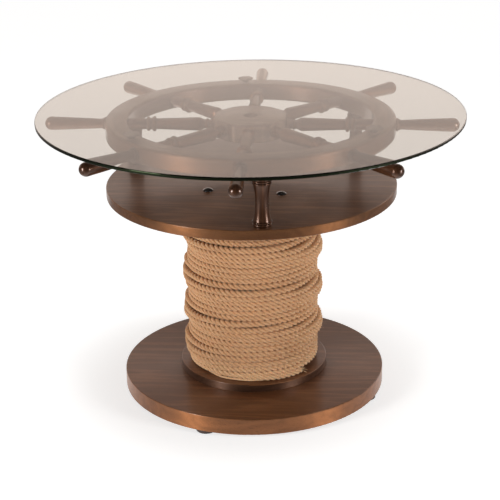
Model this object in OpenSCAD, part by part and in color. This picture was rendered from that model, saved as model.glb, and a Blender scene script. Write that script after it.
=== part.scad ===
// Round coffee table: a ship's wheel on three turned posts carries a loose glass top,
// and a rope-wound drum on a round base carries the shelf under the wheel.
// The origin is the centre of the circle that the feet stand on. +Z is up.

/* [Glass top] */
// Diameter of the glass disc
glass_d = 800; // [790:5:900]
// Thickness of the glass
glass_t = 6.4; // [5:0.2:10]
// Radius of the ground edge
glass_edge = 1.6; // [0.5:0.1:2.2]

/* [Glass rests] */
// Direction of the first rest, from +X towards +Y
rest_turn = 96; // [94:1:98]
// Height of a rest above the rim
rest_h = 8; // [6:0.5:14]
// Diameter of the disc that the glass lies on
rest_d = 30; // [22:1:36]
// Thickness of that disc at its lip
rest_lip = 1.4; // [1:0.1:2.5]
// Diameter of the neck
rest_neck_d = 13; // [11:0.5:16]
// Diameter of the stem in the rim
rest_stem_d = 8; // [5:0.5:9]
// Length of the stem in the rim
rest_stem = 14; // [8:1:20]

/* [Wheel rim] */
// Diameter of the circle along the middle of the rim
rim_mid_d = 501; // [480:1:510]
// Width of the rim, seen from above
rim_w = 41.5; // [36:0.5:48]
// Thickness of the rim
rim_t = 33; // [28:0.5:40]
// Radius of the rounding on the rim's edges
rim_round = 5; // [2:0.5:7]

/* [Wheel hub] */
// Width of the hub across its flats
hub_w = 133; // [120:1:150]
// Thickness of the hub
hub_t = 34; // [28:0.5:40]
// Bevel on the hub's corners and edges
hub_bevel = 2; // [0.5:0.5:4]
// Diameter of the recess in the middle of the hub
hub_recess_d = 26; // [18:1:34]
// Depth of that recess
hub_recess = 20; // [8:1:24]

/* [Spokes and handles] */
// Largest diameter of a spoke's long taper
spoke_d = 25.2; // [22:0.2:27]
// Diameter at the thin end of the taper
spoke_thin_d = 20.2; // [17:0.2:22]
// Length of the turned neck between the hub and the taper
spoke_neck = 29; // [26:0.5:34]
// Diameter of the large bead
bead_d = 28.4; // [25:0.2:31]
// Diameter of the small bead
bead_small_d = 26.6; // [23:0.2:29]
// Distance from the rim to the middle of the large bead
bead_from_rim = 48.5; // [47:0.5:54]
// Distance from the rim to the middle of the small bead
bead_small_from_rim = 37.5; // [33:0.5:39]
// Diameter of the straight end at the rim
spoke_end_d = 20.8; // [18:0.2:23]
// Diameter of the round tenons
tenon_d = 12; // [10:0.5:14]
// Length of a tenon in the rim or the hub
tenon = 18; // [12:0.5:19]
// Length of a handle outside the rim
handle = 117.5; // [95:0.5:120]
// Diameter of a handle at its round end
handle_d = 25.8; // [22:0.2:28]
// Diameter of a handle's neck
handle_neck_d = 18; // [15:0.2:20]
// Diameter of a handle's collar
collar_d = 25.4; // [22:0.2:28]

/* [Posts] */
// Direction of the first post, from +X towards +Y
post_turn = 38; // [36:1:40]
// Height of a post
post_h = 90; // [80:1:120]
// Diameter of a post's beads
post_bead_d = 36.4; // [32:0.2:40]
// Diameter at a post's waist
post_waist_d = 24.4; // [21:0.2:28]
// Diameter of the dowels between the posts and the rim
dowel_d = 10; // [8:0.5:12]
// Length of a dowel
dowel = 36; // [24:1:40]
// Diameter of the screws under the shelf
post_screw_d = 6; // [4:0.5:8]
// Length of these screws above their heads
post_screw = 45; // [38:1:60]

/* [Shelf] */
// Diameter of the shelf
shelf_d = 550.5; // [545:0.5:580]
// Thickness of the shelf
shelf_t = 18.5; // [15:0.5:25]
// Radius of the rounding on the edges of the shelf, the flange and the base
board_round = 1.5; // [0.5:0.5:4]

/* [Drum] */
// Height between the spool flange and the shelf
drum_h = 342; // [320:1:350]
// Diameter of the bare drum
drum_d = 223; // [216:1:240]
// Wall of the drum's tube
drum_wall = 4.5; // [3:0.5:6]
// Thickness of a drum end's outer part, which closes the tube
cap_t = 9; // [6:0.5:14]
// Thickness of a drum end's inner part, which fits in the tube
spigot_t = 12; // [12:0.5:18]
// Diameter of the spool flange
flange_d = 286; // [270:1:310]
// Thickness of the spool flange
flange_t = 16; // [12:0.5:22]

/* [Rope] */
// Diameter of the wound rope
rope_d = 13.2; // [13:0.1:16]
// Least gap between two turns
rope_gap = 0.45; // [0.45:0.05:1]
// Diameter of the cord that runs slantwise under the turns
under_d = 8.8; // [6:0.2:9.4]
// Clearance between the rope, the cord and the drum's parts
rope_fit = 0.3; // [0.2:0.05:0.5]

/* [Base and feet] */
// Diameter of the base
base_d = 508; // [500:1:560]
// Thickness of the base
base_t = 32; // [26:0.5:40]
// Direction of the first foot, from +X towards +Y
foot_turn = 71; // [0:1:90]
// Distance from the base's edge to a foot
foot_inset = 1.5; // [1:0.5:40]
// Diameter of a foot
foot_d = 38; // [25:1:40]
// Height of a foot
foot_h = 7; // [5:0.5:12]
// Diameter of a foot screw's shank
foot_screw_d = 4; // [3:0.5:5]
// Length of a foot screw
foot_screw = 20; // [16:1:30]

/* [Bolts] */
// Number of bolts at each end of the drum
bolt_count = 4; // [3:1:6]
// Direction of the first bolt, from +X towards +Y
bolt_turn = 38; // [0:1:90]
// Distance from the drum tube's inner wall to a tee nut's plate
nut_inset = 1; // [0.5:0.5:20]
// Diameter of a bolt's shank
bolt_d = 8; // [6:0.5:10]
// Diameter of a bolt's domed head
bolt_head_d = 19; // [16:0.5:22]
// Height of a bolt's domed head
bolt_head_h = 5.2; // [4:0.2:7]
// Depth of the recess for the heads under the base
head_recess = 9; // [8:0.5:12]
// Diameter of a tee nut's barrel
nut_d = 11; // [10.5:0.5:13]
// Height of a tee nut's barrel
nut_h = 10; // [8:0.5:11]
// Diameter of a tee nut's plate
nut_plate_d = 16; // [14:0.5:20]
// Thickness of a tee nut's plate
nut_plate_t = 1.5; // [1:0.5:2.5]

/* [Fits] */
// Clearance all round a tenon, dowel, screw, stem or tee nut
fit = 0.15; // [0.1:0.05:0.25]
// Clearance all round a bolt's shank in the boards
bolt_fit = 0.5; // [0.3:0.1:1]
// Clearance between the glass and the rests under it
glass_fit = 0.2; // [0.1:0.05:0.5]
// Thickness of the glue between a spoke's shoulder and the rim
glue = 0.1; // [0.05:0.05:0.2]

/* [Hidden] */
$fn = 64;

// How many pieces of a kind there are, where each is a node of its own
spoke_count = 8;
post_count = 3;
rest_count = 3;
foot_count = 4;

// Heights of the boards and the wheel, from the floor up
base_z = foot_h;
flange_z = base_z + base_t;
drum_z = flange_z + flange_t;
shelf_z = drum_z + drum_h;
post_z = shelf_z + shelf_t;
rim_z = post_z + post_h;
rest_z = rim_z + rim_t;
glass_z = rest_z + rest_h + glass_fit;
wheel_z = rim_z + rim_t / 2;

// Radii of the wheel
rim_ri = rim_mid_d / 2 - rim_w / 2;
rim_ro = rim_mid_d / 2 + rim_w / 2;
hub_r = hub_w / 2;
spoke_step = 360 / spoke_count;
// A flat shoulder meets the rim's hollow inner wall along its own edge
spoke_out = sqrt(rim_ri * rim_ri - spoke_end_d * spoke_end_d / 4) - glue;

// Circles on which the bolts and the feet lie
bolt_circle_r = drum_d / 2 - drum_wall - nut_inset - nut_plate_d / 2;
foot_circle_r = base_d / 2 - foot_inset - foot_d / 2;

// Colours of the materials
wood_dark = [0.23, 0.13, 0.10];
wood_board = [0.36, 0.24, 0.18];
wood_plain = [0.72, 0.58, 0.42];
rope_colour = [0.76, 0.58, 0.42];
metal_black = [0.08, 0.08, 0.08];
metal_zinc = [0.70, 0.70, 0.72];
rubber_dark = [0.055, 0.034, 0.028];
rest_clear = [0.35, 0.34, 0.32];
glass_tint = [0.72, 0.68, 0.62, 0.45];

// A value that goes smoothly from 0 to 1 while x goes from 0 to 1
function smooth(x) = x <= 0 ? 0 : x >= 1 ? 1 : x * x * (3 - 2 * x);
function polar(r, a) = [r * cos(a), r * sin(a)];

// Puts its children at equal steps round the table's axis
module around(count, r, turn) {
    for (i = [0 : count - 1])
        rotate([0, 0, turn + i * 360 / count])
            translate([r, 0, 0])
                children();
}

// Turns a profile, drawn along +Y from the axis, into a piece that points along +X
module lathe_out() {
    rotate([0, 90, 0])
        rotate_extrude()
            children();
}

// A half bead of a turned profile: its middle is at height y and its top at radius r
module bead(r, y, w) {
    translate([r - w / 2, y])
        circle(d = w);
    translate([0, y - w / 2])
        square([r - w / 2, w]);
}

// A round board whose two edges are rounded
module board(d, t) {
    rotate_extrude($fn = 128)
        board_profile(d / 2, t, board_round);
}

module board_profile(r, t, e) {
    square([r - e, t]);
    translate([0, e])
        square([r, t - 2 * e]);
    for (y = [e, t - e])
        translate([r - e, y])
            circle(e);
}

module glass_top() {
    color(glass_tint)
        translate([0, 0, glass_z])
            rotate_extrude($fn = 180)
                board_profile(glass_d / 2, glass_t, glass_edge);
}

// A rest: its disc lies under the glass, and its stem is pressed into the rim
module glass_rest(i) {
    cone_h = rest_h - rest_lip;
    color(rest_clear)
        around(1, rim_mid_d / 2, rest_turn + i * 360 / rest_count)
            translate([0, 0, rest_z])
                rotate_extrude()
                    polygon([
                        [0, -rest_stem], [rest_stem_d / 2 - 0.8, -rest_stem],
                        [rest_stem_d / 2, 0.8 - rest_stem], [rest_stem_d / 2, 0],
                        [rest_neck_d / 2, 0], [rest_neck_d / 2, 0.2 * cone_h],
                        for (k = [1 : 6])
                            [rest_neck_d / 2 + (rest_d - rest_neck_d) / 2 * pow(k / 6, 1.6),
                             cone_h * (0.2 + 0.8 * k / 6)],
                        [rest_d / 2, rest_h], [0, rest_h]
                    ]);
}

module wheel_rim() {
    color(wood_dark)
        difference() {
            translate([0, 0, rim_z])
                rotate_extrude($fn = 128)
                    rim_section();
            // Sockets for the tenons of the spokes and the handles
            for (i = [0 : spoke_count - 1])
                rotate([0, 0, i * spoke_step])
                    translate([rim_ri - 5, 0, wheel_z])
                        rotate([0, 90, 0])
                            cylinder(d = tenon_d + 2 * fit, h = rim_w + 10);
            around(post_count, rim_mid_d / 2, post_turn)
                translate([0, 0, rim_z - 1])
                    cylinder(d = dowel_d + 2 * fit, h = dowel / 2 + 1 + fit);
            around(rest_count, rim_mid_d / 2, rest_turn)
                translate([0, 0, rest_z - rest_stem - fit])
                    cylinder(d = rest_stem_d + 2 * fit, h = rest_stem + 1 + fit);
        }
}

// The rim's section: flat faces, with the four edges rounded
module rim_section() {
    e = rim_round;
    translate([rim_ri + e, 0])
        square([rim_w - 2 * e, rim_t]);
    translate([rim_ri, e])
        square([rim_w, rim_t - 2 * e]);
    for (x = [rim_ri + e, rim_ro - e], y = [e, rim_t - e])
        translate([x, y])
            circle(e);
}

// The hub has one flat for each spoke
module wheel_hub() {
    corner_r = hub_r / cos(spoke_step / 2);
    color(wood_dark)
        translate([0, 0, wheel_z - hub_t / 2])
            difference() {
                intersection() {
                    rotate([0, 0, spoke_step / 2])
                        cylinder(r = corner_r, h = hub_t, $fn = spoke_count);
                    rotate_extrude($fn = 128)
                        polygon([
                            [0, 0], [corner_r - 2 * hub_bevel, 0], [corner_r - hub_bevel / 2, hub_bevel],
                            [corner_r - hub_bevel / 2, hub_t - hub_bevel],
                            [corner_r - 2 * hub_bevel, hub_t], [0, hub_t]
                        ]);
                }
                translate([0, 0, hub_t - hub_recess])
                    cylinder(d = hub_recess_d, h = hub_recess + 1);
                for (i = [0 : spoke_count - 1])
                    rotate([0, 0, i * spoke_step])
                        translate([hub_r - tenon - fit, 0, hub_t / 2])
                            rotate([0, 90, 0])
                                cylinder(d = tenon_d + 2 * fit, h = tenon + 5);
            }
}

// A turned spoke, drawn from the hub outwards
module spoke(i) {
    neck_d = spoke_thin_d - 3;
    cove_d = spoke_thin_d - 0.8;
    taper_in = hub_r + spoke_neck;
    taper_out = spoke_out - bead_from_rim - 4.5;
    end_length = bead_small_from_rim - 6.5;
    color(wood_dark)
        rotate([0, 0, i * spoke_step])
            translate([0, 0, wheel_z])
                lathe_out() {
                    translate([0, hub_r - tenon])
                        square([tenon_d / 2, spoke_out - hub_r + 2 * tenon]);
                    // Collar, neck and neck bead at the hub
                    bead(spoke_end_d / 2 + 1.2, hub_r + 2.5, 5);
                    bead(spoke_end_d / 2 + 0.2, hub_r + 6.6, 3.2);
                    translate([0, hub_r + 7])
                        square([neck_d / 2, spoke_neck - 7]);
                    bead(spoke_end_d / 2, hub_r + spoke_neck / 2, 6);
                    // Long taper, with a chamfer at its thick end
                    polygon([
                        [0, taper_in - 9], [neck_d / 2, taper_in - 9], [spoke_d / 2, taper_in],
                        [spoke_thin_d / 2, taper_out], [0, taper_out]
                    ]);
                    translate([0, taper_out - 1])
                        square([cove_d / 2, spoke_out - taper_out]);
                    bead(bead_d / 2, spoke_out - bead_from_rim, 8);
                    bead(spoke_end_d / 2 + 0.6, spoke_out - (bead_from_rim + bead_small_from_rim) / 2, 2.4);
                    bead(bead_small_d / 2, spoke_out - bead_small_from_rim, 7.5);
                    // Straight end that seats on the rim
                    translate([0, spoke_out - end_length])
                        square([spoke_end_d / 2, end_length]);
                }
}

// A turned handle, drawn from the rim outwards
module handle_piece(i) {
    tip_r = handle_d / 2;
    neck = 9;
    grip = handle - tip_r - neck;
    color(wood_dark)
        rotate([0, 0, i * spoke_step])
            translate([rim_ro, 0, wheel_z])
                lathe_out() {
                    translate([0, -tenon])
                        square([tenon_d / 2, tenon + neck]);
                    // Two beads make the collar
                    bead(collar_d / 2, 2.1, 4.2);
                    bead(collar_d / 2 - 1.8, 5.8, 3);
                    polygon([
                        [0, 6], [handle_neck_d / 2, 6], [handle_neck_d / 2, neck],
                        for (k = [1 : 8])
                            [handle_neck_d / 2 + (handle_d - handle_neck_d) / 2 * pow(k / 8, 0.9),
                             neck + grip * k / 8],
                        [0, neck + grip]
                    ]);
                    intersection() {
                        translate([0, neck + grip])
                            circle(tip_r);
                        translate([0, neck + grip - 0.5])
                            square([tip_r, tip_r + 1]);
                    }
                }
}

// A turned post: foot and bead below, a hollow flare to the waist, and two beads above
module post(i) {
    r = post_bead_d / 2;
    waist = post_waist_d / 2;
    low = 10.5;
    high = post_h - 13;
    mid = low + 0.56 * (high - low);
    color(wood_dark)
        around(1, rim_mid_d / 2, post_turn + i * 360 / post_count)
            translate([0, 0, post_z])
                difference() {
                    rotate_extrude() {
                        square([waist, post_h]);
                        square([r - 2, 3]);
                        bead(r - 0.7, 4, 5);
                        bead(r, 8.4, 3.4);
                        polygon([
                            [0, low - 2],
                            for (k = [0 : 8])
                                [waist + (r - 1.8 - waist) * pow(1 - k / 8, 1.9),
                                 low + (mid - low) * k / 8],
                            for (k = [1 : 8])
                                [waist + (r - 2.2 - waist) * pow(k / 8, 2.1),
                                 mid + (high - mid) * k / 8],
                            [r - 2.2, high + 2], [0, high + 2]
                        ]);
                        bead(r - 0.8, high + 2.2, 3.4);
                        bead(r - 0.8, high + 6, 3.6);
                        translate([0, high + 6])
                            square([r - 2.4, post_h - high - 6]);
                    }
                    translate([0, 0, -1])
                        cylinder(d = post_screw_d + 2 * fit, h = post_screw - shelf_t + 1 + fit);
                    translate([0, 0, post_h - dowel / 2 - fit])
                        cylinder(d = dowel_d + 2 * fit, h = dowel / 2 + 1 + fit);
                }
}

module post_dowels() {
    color(wood_plain)
        around(post_count, rim_mid_d / 2, post_turn)
            translate([0, 0, rim_z - dowel / 2])
                rotate_extrude()
                    polygon([
                        [0, 0], [dowel_d / 2 - 1, 0], [dowel_d / 2, 1],
                        [dowel_d / 2, dowel - 1], [dowel_d / 2 - 1, dowel], [0, dowel]
                    ]);
}

// Screws that pull the posts onto the shelf, with washer heads under it
module post_screws() {
    color(metal_zinc)
        around(post_count, rim_mid_d / 2, post_turn)
            translate([0, 0, shelf_z]) {
                cylinder(d = post_screw_d, h = post_screw - 4);
                translate([0, 0, post_screw - 4])
                    cylinder(d1 = post_screw_d, d2 = 1, h = 4);
                rotate([180, 0, 0])
                    domed_head(post_screw_d * 2.4, post_screw_d * 0.6);
            }
}

// A low domed head that stands on the plane z = 0, with a small straight skirt
module domed_head(d, h) {
    skirt = h * 0.25;
    rise = h - skirt;
    ball = (d * d / 4 + rise * rise) / (2 * rise);
    rotate_extrude() {
        square([d / 2, skirt]);
        intersection() {
            translate([0, h - ball])
                circle(ball, $fn = 128);
            square([d / 2, h]);
        }
    }
}

module shelf() {
    color(wood_board)
        difference() {
            translate([0, 0, shelf_z])
                board(shelf_d, shelf_t);
            around(bolt_count, bolt_circle_r, bolt_turn)
                translate([0, 0, shelf_z - 1])
                    cylinder(d = bolt_d + 2 * bolt_fit, h = shelf_t + 2);
            around(post_count, rim_mid_d / 2, post_turn)
                translate([0, 0, shelf_z - 1])
                    cylinder(d = post_screw_d + 2 * fit, h = shelf_t + 2);
        }
}

// A bolt whose head is above the plane z = 0 and whose shank goes down
module bolt(length) {
    domed_head(bolt_head_d, bolt_head_h);
    translate([0, 0, -length])
        cylinder(d = bolt_d, h = length);
}

module shelf_bolts() {
    color(metal_black)
        around(bolt_count, bolt_circle_r, bolt_turn)
            translate([0, 0, post_z])
                bolt(shelf_t + cap_t + spigot_t + nut_plate_t);
}

// A tee nut: a barrel in the drum's end, and a plate against its inner face
module tee_nut() {
    difference() {
        union() {
            cylinder(d = nut_d, h = nut_h);
            translate([0, 0, -nut_plate_t])
                cylinder(d = nut_plate_d, h = nut_plate_t);
        }
        translate([0, 0, -nut_plate_t - 1])
            cylinder(d = bolt_d + 2 * fit, h = nut_h + nut_plate_t + 2);
    }
}

module shelf_nuts() {
    color(metal_zinc)
        around(bolt_count, bolt_circle_r, bolt_turn)
            translate([0, 0, shelf_z - cap_t - spigot_t])
                tee_nut();
}

module drum_tube() {
    color(wood_plain)
        translate([0, 0, drum_z + cap_t])
            difference() {
                cylinder(d = drum_d, h = drum_h - 2 * cap_t, $fn = 96);
                translate([0, 0, -1])
                    cylinder(d = drum_d - 2 * drum_wall, h = drum_h - 2 * cap_t + 2, $fn = 96);
            }
}

// One end of the drum, drawn as the lower one: its spigot points up into the tube
module drum_end() {
    difference() {
        union() {
            cylinder(d = drum_d, h = cap_t, $fn = 96);
            cylinder(d = drum_d - 2 * drum_wall - 2 * fit, h = cap_t + spigot_t, $fn = 96);
        }
        around(bolt_count, bolt_circle_r, bolt_turn) {
            translate([0, 0, -1])
                cylinder(d = bolt_d + 2 * bolt_fit, h = cap_t + spigot_t + 2);
            translate([0, 0, cap_t + spigot_t - nut_h - fit])
                cylinder(d = nut_d + 2 * fit, h = nut_h + 1 + fit);
        }
    }
}

module drum_bottom_end() {
    color(wood_plain)
        translate([0, 0, drum_z])
            drum_end();
}

module drum_top_end() {
    color(wood_plain)
        translate([0, 0, shelf_z])
            rotate([0, 0, 2 * bolt_turn])
                rotate([180, 0, 0])
                    drum_end();
}

module spool_flange() {
    color(wood_board)
        difference() {
            translate([0, 0, flange_z])
                board(flange_d, flange_t);
            around(bolt_count, bolt_circle_r, bolt_turn)
                translate([0, 0, flange_z - 1])
                    cylinder(d = bolt_d + 2 * bolt_fit, h = flange_t + 2);
        }
}

module base() {
    color(wood_board)
        difference() {
            translate([0, 0, base_z])
                board(base_d, base_t);
            around(bolt_count, bolt_circle_r, bolt_turn) {
                translate([0, 0, base_z - 1])
                    cylinder(d = bolt_d + 2 * bolt_fit, h = base_t + 2);
                translate([0, 0, base_z - 1])
                    cylinder(d = bolt_head_d + 4, h = head_recess + 1);
            }
            around(foot_count, foot_circle_r, foot_turn)
                translate([0, 0, base_z - 1])
                    cylinder(d = foot_screw_d + 2 * fit, h = foot_screw - foot_h + 5);
        }
}

module base_bolts() {
    color(metal_black)
        around(bolt_count, bolt_circle_r, bolt_turn)
            translate([0, 0, base_z + head_recess])
                rotate([180, 0, 0])
                    bolt(base_t - head_recess + flange_t + cap_t + spigot_t + nut_plate_t);
}

module base_nuts() {
    color(metal_zinc)
        around(bolt_count, bolt_circle_r, bolt_turn)
            translate([0, 0, drum_z + cap_t + spigot_t])
                rotate([180, 0, 0])
                    tee_nut();
}

// A foot with a chamfered tread and a countersunk hole for its screw
module foot(i) {
    head_r = foot_screw_d;
    color(rubber_dark)
        around(1, foot_circle_r, foot_turn + i * 360 / foot_count)
            rotate_extrude()
                polygon([
                    [head_r + fit, 0], [foot_d / 2 - 1.5, 0], [foot_d / 2, 1.5], [foot_d / 2, foot_h],
                    [foot_screw_d / 2 + fit, foot_h], [foot_screw_d / 2 + fit, 1 + head_r / 2 + fit],
                    [head_r + fit, 1 + fit]
                ]);
}

module foot_screws() {
    head_r = foot_screw_d;
    color(metal_zinc)
        around(foot_count, foot_circle_r, foot_turn)
            rotate_extrude()
                polygon([
                    [0, 1], [head_r, 1], [foot_screw_d / 2, 1 + head_r / 2],
                    [foot_screw_d / 2, 1 + foot_screw - 3], [0.6, 1 + foot_screw], [0, 1 + foot_screw]
                ]);
}

// The rope lies in close turns that rise towards +azimuth. Under them a thinner cord falls slantwise,
// and the turns bulge where they pass over it.
loop_rings = 24;
tube_sides = 6;
ring_step = 360 / loop_rings;
rope_r = rope_d / 2;
under_r = under_d / 2;
rope_low = drum_z + rope_r + rope_fit;
rope_high = shelf_z - rope_r - rope_fit;
rope_turns = floor((rope_high - rope_low) / (rope_d + rope_gap));
rope_pitch = (rope_high - rope_low) / rope_turns;
// A path of straight steps comes nearer to the drum between its points
rope_path_r = (drum_d / 2 + rope_fit + rope_r) / cos(ring_step / 2);
under_path_r = (drum_d / 2 + rope_fit + under_r) / cos(ring_step / 2);
rope_start = -190;

// Where the groove on the slanting bulge is: angle, then height as a share of the drum's height
bulge_route = [
    [-350, 0.940], [-141, 0.787], [-66, 0.775], [-26, 0.728], [-11, 0.716],
    [204, 0.541], [304, 0.526], [349, 0.480], [564, 0.344], [619, 0.333],
    [674, 0.289], [714, 0.249], [924, 0.136], [980, 0.129]
];
bulge_first = bulge_route[0][0];
bulge_last = bulge_route[len(bulge_route) - 1][0];
// How far below that groove the cord lies, and how the bulge rises and falls across it
cord_below = 10;
bulge_low = -33;
bulge_rise = 14;
bulge_fall_from = -1;
bulge_fall = 16;
bulge_h = under_d + 4 * rope_fit;
// How far round the bulge takes to rise and fall at its ends, and how far inside them the cord ends
bulge_ramp = 40;
cord_inside = 62;

// Height of the turns' bulge at azimuth a and height z
function bulge_at(a, z) = bulge_h * max([
    for (k = [-2 : 3])
        let (t = a - 360 * floor((a + 180) / 360) + 360 * k)
            t < bulge_first || t > bulge_last ? 0 :
                let (
                    dz = z - drum_z - drum_h * lookup(t, bulge_route),
                    ends = smooth((t - bulge_first) / bulge_ramp) * smooth((bulge_last - t) / bulge_ramp),
                    rise = smooth((dz - bulge_low) / bulge_rise),
                    fall = smooth((dz - bulge_fall_from) / bulge_fall)
                )
                    ends * rise * (1 - fall)
]);

// Points along the middle of the wound rope
rope_points = [
    for (k = [0 : rope_turns * loop_rings])
        let (
            a = rope_start + k * ring_step,
            z = rope_low + rope_pitch * k / loop_rings
        )
            concat(polar(rope_path_r + bulge_at(a, z), a), z)
];

// Points along the middle of the slanting cord
// Its points lie on the same steps round the drum as the rope's
under_start = rope_start - ring_step * floor((rope_start - bulge_first - cord_inside) / ring_step);
under_steps = floor((bulge_last - cord_inside - under_start) / ring_step);
under_points = [
    for (k = [0 : under_steps])
        let (a = under_start + k * ring_step)
            concat(polar(under_path_r, a), drum_z + drum_h * lookup(a, bulge_route) - cord_below)
];

// Adds one straight step of the tube's own diameter at each end of a path
function straight_ends(p, d) =
    let (
        n = len(p) - 1,
        first = p[0] - p[1],
        last = p[n] - p[n - 1]
    )
        [p[0] + d * first / norm(first), each p, p[n] + d * last / norm(last)];

// Sweeps a round tube along points that run round the Z axis
module wound_tube(path, d) {
    p = straight_ends(path, d);
    n = len(p);
    s = tube_sides;
    rings = [
        for (i = [0 : n - 1])
            let (
                run = p[min(i + 1, n - 1)] - p[max(i - 1, 0)],
                along = run / norm(run),
                side = cross(along, [0, 0, 1]),
                out = side / norm(side),
                up = cross(out, along)
            )
                for (j = [0 : s - 1])
                    p[i] + d / 2 * (out * cos(j * 360 / s) + up * sin(j * 360 / s))
    ];
    polyhedron(
        points = rings,
        faces = [
            [for (j = [s - 1 : -1 : 0]) j],
            [for (j = [0 : s - 1]) (n - 1) * s + j],
            for (i = [0 : n - 2], j = [0 : s - 1])
                let (a = i * s + j, b = i * s + (j + 1) % s)
                    each [[a, b, a + s], [b, b + s, a + s]]
        ]
    );
}

module rope_winding() {
    color(rope_colour)
        wound_tube(rope_points, rope_d);
}

module rope_undercord() {
    color(rope_colour)
        wound_tube(under_points, under_d);
}

// Least distance from a point of a path to the steps near one turn further on, less the tube
function self_gap(p, d) = min([
    for (i = [0 : len(p) - 1 - loop_rings], j = [-2 : 2])
        let (k = i + loop_rings + j)
            if (k < len(p)) norm(p[k] - p[i])
]) - d;
// Least distance between the wound rope and the cord under it, less the two radii
function cord_gap() = min([
    for (p = under_points, q = rope_points)
        if (abs(p[2] - q[2]) < 2 * rope_d) norm(p - q)
]) - rope_r - under_r;

union() {
    echo(rope_turns = rope_turns, rope_self_gap = self_gap(rope_points, rope_d));
    echo(cord_self_gap = self_gap(under_points, under_d), cord_to_rope_gap = cord_gap());
}

glass_top();
glass_rest(0);  // glass_rest_1
glass_rest(1);  // glass_rest_2
glass_rest(2);  // glass_rest_3
wheel_rim();
wheel_hub();
spoke(0);  // spoke_1
spoke(1);  // spoke_2
spoke(2);  // spoke_3
spoke(3);  // spoke_4
spoke(4);  // spoke_5
spoke(5);  // spoke_6
spoke(6);  // spoke_7
spoke(7);  // spoke_8
handle_piece(0);  // handle_1
handle_piece(1);  // handle_2
handle_piece(2);  // handle_3
handle_piece(3);  // handle_4
handle_piece(4);  // handle_5
handle_piece(5);  // handle_6
handle_piece(6);  // handle_7
handle_piece(7);  // handle_8
post(0);  // post_1
post(1);  // post_2
post(2);  // post_3
post_dowels();
post_screws();
shelf();
shelf_bolts();
shelf_nuts();
drum_tube();
drum_top_end();
drum_bottom_end();
spool_flange();
rope_winding();
rope_undercord();
base();
base_bolts();
base_nuts();
foot(0);  // foot_1
foot(1);  // foot_2
foot(2);  // foot_3
foot(3);  // foot_4
foot_screws();
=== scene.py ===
import math
from collections import namedtuple

import bpy
import numpy as np
from mathutils import Matrix, Vector


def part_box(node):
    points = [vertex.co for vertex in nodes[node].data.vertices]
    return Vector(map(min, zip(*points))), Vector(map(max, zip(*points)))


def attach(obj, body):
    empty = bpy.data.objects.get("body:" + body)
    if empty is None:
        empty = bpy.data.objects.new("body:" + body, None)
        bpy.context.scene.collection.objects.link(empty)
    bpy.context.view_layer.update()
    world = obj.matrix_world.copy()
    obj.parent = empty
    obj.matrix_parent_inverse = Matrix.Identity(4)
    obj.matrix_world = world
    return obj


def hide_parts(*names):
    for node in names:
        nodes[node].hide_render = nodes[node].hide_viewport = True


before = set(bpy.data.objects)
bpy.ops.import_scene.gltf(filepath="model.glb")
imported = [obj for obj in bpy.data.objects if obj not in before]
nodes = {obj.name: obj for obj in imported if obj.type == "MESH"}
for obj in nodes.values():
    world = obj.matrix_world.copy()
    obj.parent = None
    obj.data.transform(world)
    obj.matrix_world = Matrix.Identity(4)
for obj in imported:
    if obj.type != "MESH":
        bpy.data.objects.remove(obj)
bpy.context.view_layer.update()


# Shader nodes


def rgba(color):
    """A plain colour with its alpha, or a socket as it is."""
    return (*color, 1.0) if isinstance(color, tuple) else color


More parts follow.
